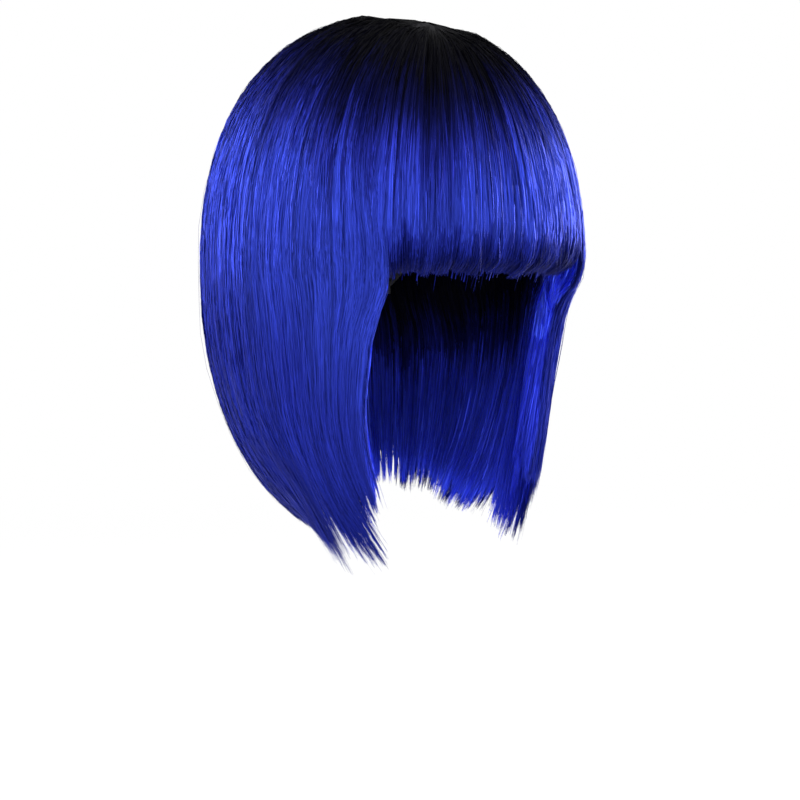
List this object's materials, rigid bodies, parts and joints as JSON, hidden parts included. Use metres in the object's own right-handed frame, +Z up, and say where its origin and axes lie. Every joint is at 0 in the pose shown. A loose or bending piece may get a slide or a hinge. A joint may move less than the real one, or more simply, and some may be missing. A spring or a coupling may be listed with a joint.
{
  "type": "costume wig",
  "caption": "Short straight bob wig with a full fringe, dark at the crown and blue below, on a stretch cap with snap combs, ear tabs and adjuster straps.",
  "frame": {"origin": "centre of the head at its greatest girth, inside the cap", "axes": "+Z up, the wearer looks along -Y, +X is the wearer's left"},
  "size_m": [0.242, 0.2579, 0.3511],
  "materials": {
    "blue_hair": "silky straight hair, royal blue",
    "dark_roots": "silky straight hair, black fading to navy",
    "weft_track": "machine-stitched weft",
    "cap_net": "fine stretch mesh",
    "band": "bound satin tape",
    "elastic": "ribbed woven elastic",
    "velvet": "short-pile velvet",
    "stay_plastic": "flexible boning",
    "scalp_skin": "thin matt skin",
    "hook_steel": "black enamelled wire",
    "comb_steel": "blackened spring steel"
  },
  "bodies": {
    "root": {"back_net": "cap_net", "comb_plate_left": "comb_steel", "comb_plate_nape": "comb_steel", "comb_plate_right": "comb_steel", "crown_net": "cap_net", "front_band": "band", "front_net": "cap_net", "hair_back": "blue_hair", "hair_crown": "dark_roots", "hair_fringe": "blue_hair", "hair_side_left": "blue_hair", "hair_side_right": "blue_hair", "hair_under_back": "blue_hair", "hair_under_fringe": "blue_hair", "hair_under_left": "blue_hair", "hair_under_right": "blue_hair", "loop_ladder_left": "elastic", "loop_ladder_right": "elastic", "nape_band": "band", "rib_tape_1": "elastic", "rib_tape_2": "elastic", "rib_tape_3": "elastic", "rib_tape_4": "elastic", "rib_tape_5": "elastic", "scalp_patch": "scalp_skin", "side_net_left": "cap_net", "side_net_right": "cap_net", "strap_left": "elastic", "strap_right": "elastic", "weft_row_01": "weft_track", "weft_row_02": "weft_track", "weft_row_03": "weft_track", "weft_row_04": "weft_track", "weft_row_05": "weft_track", "weft_row_06": "weft_track", "weft_row_07": "weft_track", "weft_row_08": "weft_track", "weft_row_09": "weft_track", "weft_row_10": "weft_track"},
    "comb_leaf_left": {"comb_leaf_left": "comb_steel"},
    "comb_leaf_right": {"comb_leaf_right": "comb_steel"},
    "comb_leaf_nape": {"comb_leaf_nape": "comb_steel"},
    "strap_end_left": {"strap_end_left": "elastic"},
    "strap_end_right": {"strap_end_right": "elastic"},
    "hook_left": {"hook_left": "hook_steel"},
    "hook_right": {"hook_right": "hook_steel"},
    "ear_tab_left": {"ear_tab_left": "velvet", "ear_stay_left": "stay_plastic"},
    "ear_tab_right": {"ear_tab_right": "velvet", "ear_stay_right": "stay_plastic"}
  },
  "joints": [
    {"name": "comb_left_open", "type": "hinge", "parent": "root", "child": "comb_leaf_left", "pos_m": [0.07465, -0.01004, 0.0137], "axis": [-0.0836, -0.9965, 0.0044], "range_deg": [0, 40]},
    {"name": "comb_right_open", "type": "hinge", "parent": "root", "child": "comb_leaf_right", "pos_m": [-0.07465, -0.01004, 0.0137], "axis": [-0.0836, 0.9965, -0.0044], "range_deg": [0, 40]},
    {"name": "comb_nape_open", "type": "hinge", "parent": "root", "child": "comb_leaf_nape", "pos_m": [0, 0.08954, -0.04288], "axis": [1, 0, 0], "range_deg": [0, 40]},
    {"name": "strap_left_stretch", "type": "slide", "parent": "root", "child": "strap_end_left", "axis": [-0.9398, 0.3416, 0], "range_m": [0, 0.006], "stiffness_N_per_m": 40, "deforming": ["strap_left"]},
    {"name": "hook_left_lift", "type": "hinge", "parent": "strap_end_left", "child": "hook_left", "pos_m": [0.0236, 0.08218, -0.0565], "axis": [0.1128, 0.3102, 0.944], "range_deg": [0, 50]},
    {"name": "strap_right_stretch", "type": "slide", "parent": "root", "child": "strap_end_right", "axis": [0.9398, 0.3416, 0], "range_m": [0, 0.006], "stiffness_N_per_m": 40, "deforming": ["strap_right"]},
    {"name": "hook_right_lift", "type": "hinge", "parent": "strap_end_right", "child": "hook_right", "pos_m": [-0.0236, 0.08218, -0.0565], "axis": [0.1128, -0.3102, -0.944], "range_deg": [0, 50]},
    {"name": "ear_tab_left_bend", "type": "hinge", "parent": "root", "child": "ear_tab_left", "pos_m": [0.0692, -0.0502, -0.0006], "axis": [0.4175, 0.9087, 0], "range_deg": [-6, 14]},
    {"name": "ear_tab_right_bend", "type": "hinge", "parent": "root", "child": "ear_tab_right", "pos_m": [-0.0692, -0.0502, -0.0006], "axis": [0.4175, -0.9087, 0], "range_deg": [-6, 14]}
  ]
}
